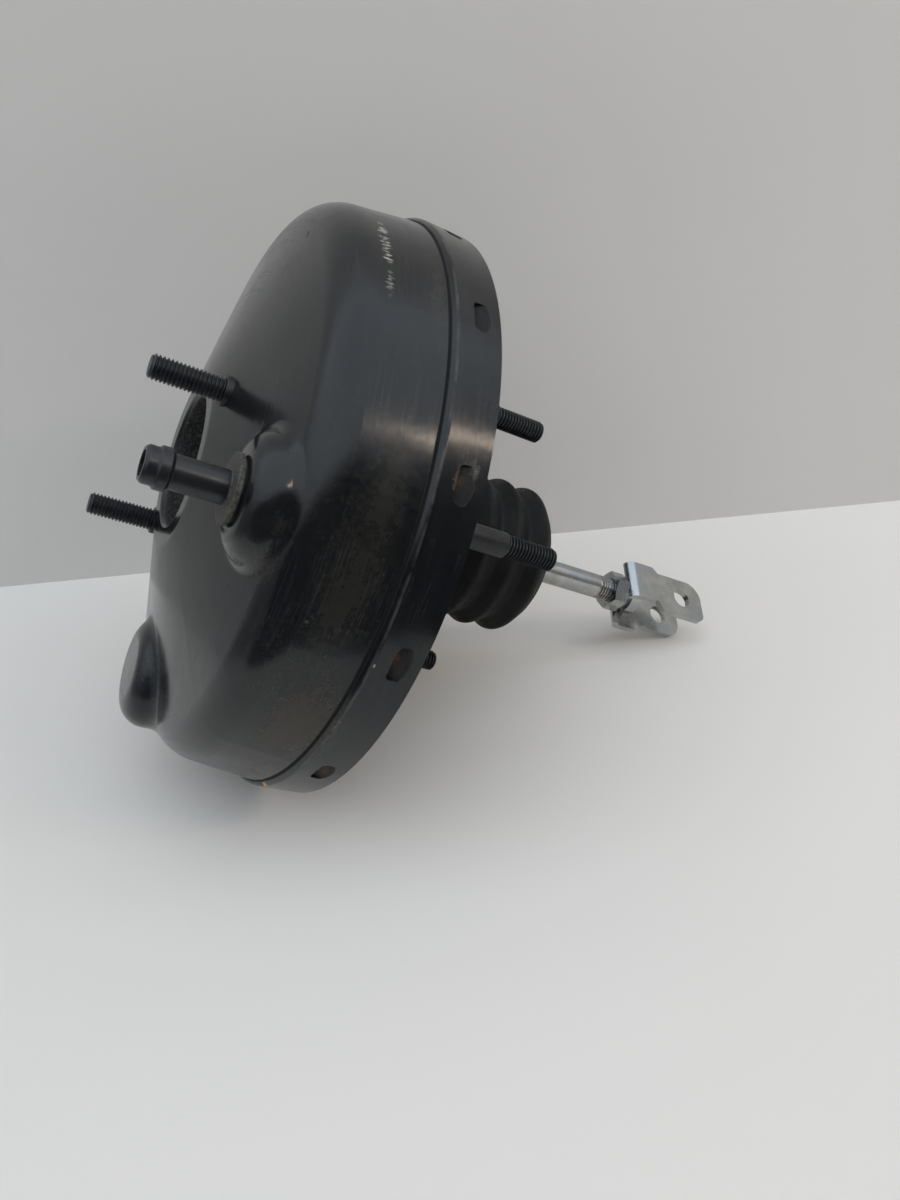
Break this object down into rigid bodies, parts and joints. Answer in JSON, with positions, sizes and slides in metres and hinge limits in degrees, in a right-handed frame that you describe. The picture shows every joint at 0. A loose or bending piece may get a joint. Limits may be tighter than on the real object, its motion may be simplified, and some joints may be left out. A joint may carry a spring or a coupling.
{
  "type": "vacuum brake booster",
  "caption": "Round pressed steel vacuum brake booster with master cylinder studs, a hose port, firewall studs, a rubber dust boot and a push rod with a clevis.",
  "frame": {"origin": "centre of the face that sits on the firewall, on the booster's axis", "axes": "+Y along the booster's axis toward the push rod, -Y toward the master cylinder, Z through the two master cylinder studs"},
  "size_m": [0.204, 0.2465, 0.204],
  "materials": {
    "shell_paint": "semi-gloss black paint, worn",
    "black_oxide": "black coated steel",
    "zinc": "bright zinc plate",
    "spring_steel": "oiled spring steel",
    "bare_steel": "bare steel",
    "boot_rubber": "matte black rubber",
    "inner_rubber": "black rubber",
    "valve_plastic": "black moulded plastic",
    "filter_foam": "grey foam"
  },
  "bodies": {
    "housing": {"front_shell": "shell_paint", "rear_shell": "shell_paint", "front_reinforcement_plate": "black_oxide", "rear_reinforcement_plate": "black_oxide", "front_studs": "black_oxide", "rear_studs": "black_oxide", "vacuum_port": "black_oxide", "port_gasket": "inner_rubber", "rear_seal": "inner_rubber", "seal_retainer": "bare_steel", "dust_boot": "boot_rubber"},
    "power_piston": {"valve_body": "valve_plastic", "diaphragm_plate": "bare_steel", "diaphragm": "inner_rubber", "return_spring": "spring_steel", "reaction_disc": "inner_rubber", "output_rod": "bare_steel", "output_rod_retainer": "bare_steel", "poppet_valve": "inner_rubber", "poppet_spring": "spring_steel", "poppet_retainer": "bare_steel", "rod_return_spring": "spring_steel", "air_filter": "filter_foam", "filter_retainer": "bare_steel", "stop_key": "bare_steel"},
    "valve_plunger": {"valve_plunger": "bare_steel"},
    "push_rod": {"push_rod": "zinc", "spring_seat": "bare_steel", "lock_nut": "zinc", "clevis": "zinc"}
  },
  "joints": [
    {"name": "push_stroke", "type": "slide", "parent": "housing", "child": "power_piston", "axis": [0, -1, 0], "range_m": [0, 0.028], "stiffness_N_per_m": 2500, "springref_m": -0.04, "deforming": ["dust_boot", "return_spring", "diaphragm"]},
    {"name": "valve_travel", "type": "slide", "parent": "power_piston", "child": "valve_plunger", "axis": [0, -1, 0], "range_m": [0, 0.0016], "stiffness_N_per_m": 6000, "springref_m": -0.004, "deforming": ["rod_return_spring", "poppet_spring", "poppet_valve"]},
    {"name": "rod_swing", "type": "hinge", "parent": "valve_plunger", "child": "push_rod", "pos_m": [0, 0.015, 0], "axis": [0, 0, 1], "range_deg": [-3, 3], "stiffness_Nm_per_rad": 0.6}
  ]
}
